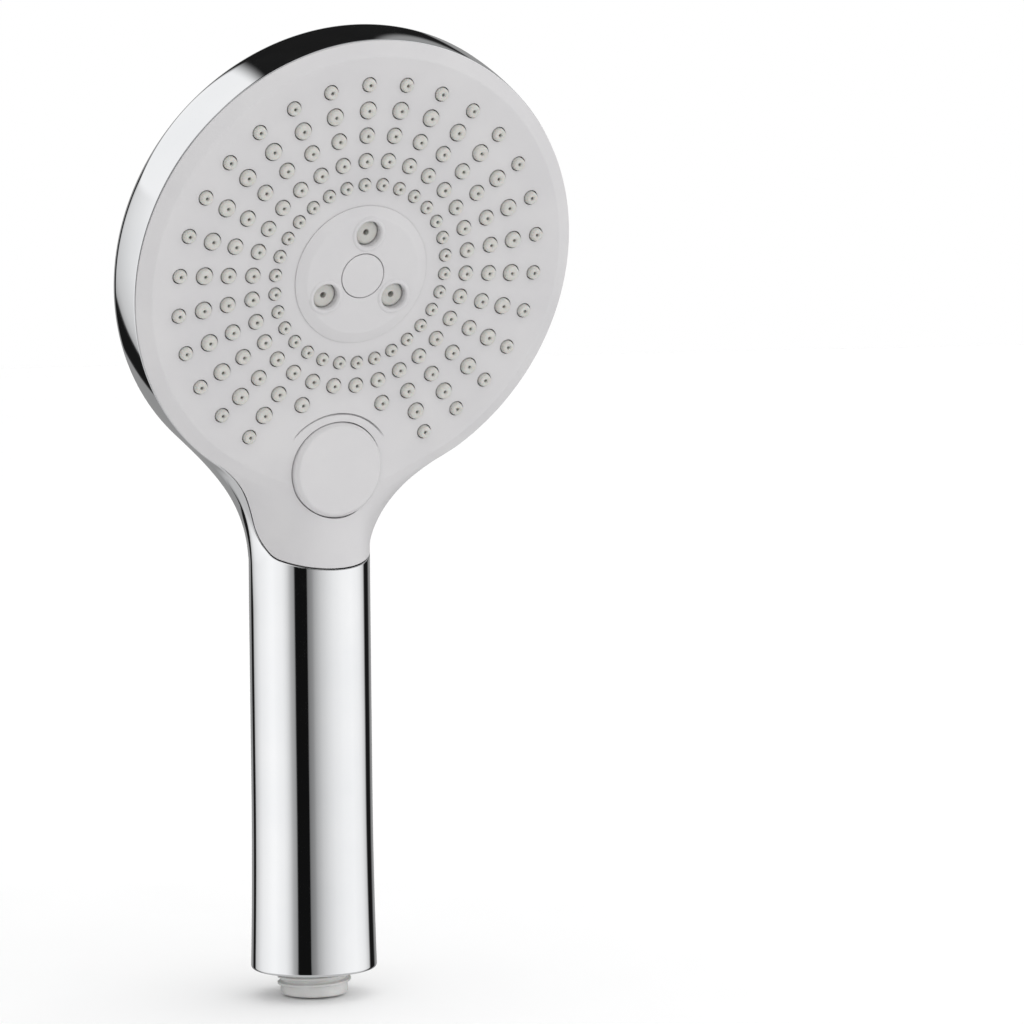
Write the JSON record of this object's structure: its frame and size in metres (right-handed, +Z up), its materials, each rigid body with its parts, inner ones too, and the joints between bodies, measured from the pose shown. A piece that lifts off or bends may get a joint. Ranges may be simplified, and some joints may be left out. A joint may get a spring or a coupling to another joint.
{
  "type": "handheld shower head",
  "caption": "Handheld shower head with a round tilted spray face, nozzle rings, a centre massage disc, a push-button spray selector and an upright chromed handle with a threaded inlet.",
  "frame": {"origin": "centre of the inlet's threaded end face, where the shower hose seals", "axes": "+Z up along the handle; the spray face looks towards -Y and leans forward by 19.1 degrees; +X is to the right when facing the spray face"},
  "size_m": [0.133, 0.0723, 0.2717],
  "materials": {
    "chrome_shell": "mirror chrome plating on ABS",
    "white_abs": "satin white moulded ABS",
    "grey_silicone": "soft matt light grey silicone",
    "natural_plastic": "milky natural moulded plastic",
    "inner_plastic": "plain moulded plastic",
    "steel": "bright stainless steel",
    "seal_rubber": "black EPDM rubber"
  },
  "bodies": {
    "shower_body": {"body_shell": "chrome_shell", "face_plate": "white_abs", "nozzle_mat": "grey_silicone", "centre_disc": "white_abs", "centre_cap": "white_abs", "centre_screw": "steel", "massage_nozzle_1": "grey_silicone", "massage_nozzle_2": "grey_silicone", "massage_nozzle_3": "grey_silicone", "distributor_plate": "inner_plastic", "distributor_seal": "seal_rubber", "distributor_housing": "inner_plastic", "distributor_screw_1": "steel", "distributor_screw_2": "steel", "distributor_screw_3": "steel", "distributor_screw_4": "steel", "distributor_screw_5": "steel", "distributor_screw_6": "steel", "transfer_pipe": "inner_plastic", "button_spring": "steel", "button_retainer": "inner_plastic", "valve_cover": "inner_plastic", "plunger_o_ring": "seal_rubber", "valve_seat": "seal_rubber", "valve_housing": "inner_plastic", "inlet_tube": "natural_plastic", "tube_o_ring_1": "seal_rubber", "tube_o_ring_2": "seal_rubber", "filter_screen": "steel", "flow_regulator": "inner_plastic"},
    "button": {"push_button": "white_abs", "button_plunger": "inner_plastic"},
    "rotor": {"diverter_rotor": "inner_plastic"}
  },
  "joints": [
    {"name": "button_press", "type": "slide", "parent": "shower_body", "child": "button", "axis": [0, 0.9903, 0.1392], "range_m": [0, 0.003], "stiffness_N_per_m": 800, "springref_m": -0.003, "deforming": ["button_spring"]},
    {"name": "rotor_turn", "type": "hinge", "parent": "shower_body", "child": "rotor", "pos_m": [0, -0.0203, 0.1495], "axis": [0, 0.9903, 0.1392], "range_deg": [0, 120]}
  ],
  "couplings": [
    {"joint": "rotor_turn", "follows": "button_press", "rad_per_m": 698.13}
  ]
}
